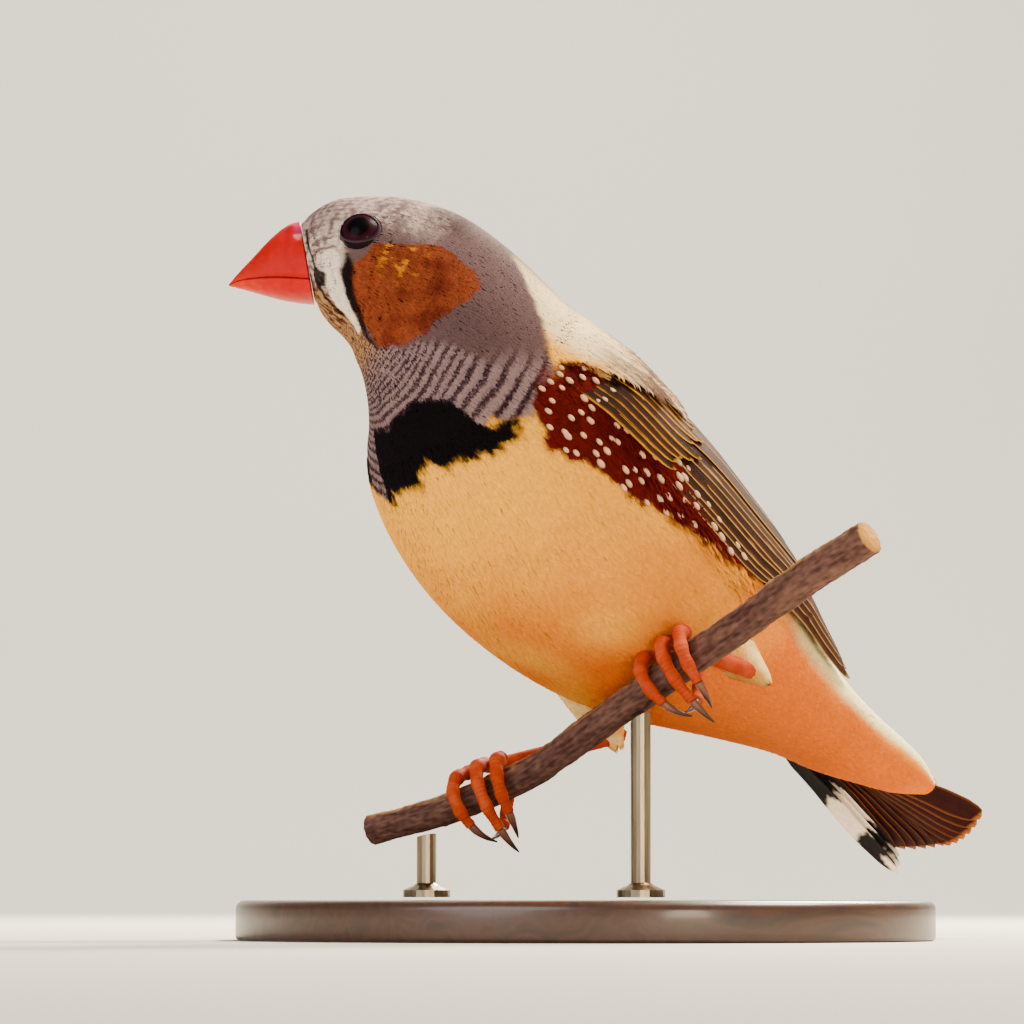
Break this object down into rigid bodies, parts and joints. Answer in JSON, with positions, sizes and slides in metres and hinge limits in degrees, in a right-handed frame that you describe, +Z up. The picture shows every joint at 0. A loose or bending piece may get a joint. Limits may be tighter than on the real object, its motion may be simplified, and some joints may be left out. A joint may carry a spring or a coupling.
{
  "type": "zebra finch on a display stand",
  "caption": "Life-size male zebra finch, perched with its head turned, on a short cut branch held by two rods on a flat oval base.",
  "frame": {"origin": "centre of the underside of the stand's base, on the surface it stands on", "axes": "+X towards the bird's tail, so the body faces -X; -Y is the bird's left; +Z is up"},
  "size_m": [0.0862, 0.074, 0.0737],
  "materials": {
    "plumage_grey": "soft matt feathers",
    "plumage_cream": "soft matt feathers",
    "plumage_brown": "smooth matt vanes",
    "plumage_barred": "smooth matt vanes",
    "bill_horn": "waxy horn",
    "leg_skin": "fine scales",
    "claw_horn": "horn",
    "eye_glass": "wet gloss",
    "branch_bark": "rough bark",
    "stand_wood": "stained and waxed",
    "stand_metal": "satin"
  },
  "bodies": {
    "root": {"bill_lower": "bill_horn", "bill_upper": "bill_horn", "claw_left_1": "claw_horn", "claw_left_2": "claw_horn", "claw_left_3": "claw_horn", "claw_left_4": "claw_horn", "claw_right_1": "claw_horn", "claw_right_2": "claw_horn", "claw_right_3": "claw_horn", "claw_right_4": "claw_horn", "eye_left": "eye_glass", "eye_right": "eye_glass", "head": "plumage_grey", "neck": "plumage_grey", "perch": "branch_bark", "rump": "plumage_cream", "stand_base": "stand_wood", "stand_rod_1": "stand_metal", "stand_rod_2": "stand_metal", "tail": "plumage_brown", "tail_covert_right": "plumage_barred", "tail_coverts_under": "plumage_cream", "tail_coverts_upper": "plumage_barred", "tarsus_left": "leg_skin", "tarsus_right": "leg_skin", "thigh_left": "plumage_cream", "thigh_right": "plumage_cream", "toe_left_1": "leg_skin", "toe_left_2": "leg_skin", "toe_left_3": "leg_skin", "toe_left_4": "leg_skin", "toe_right_1": "leg_skin", "toe_right_2": "leg_skin", "toe_right_3": "leg_skin", "toe_right_4": "leg_skin", "torso": "plumage_cream", "wing_left": "plumage_brown", "wing_right": "plumage_brown"}
  },
  "joints": []
}
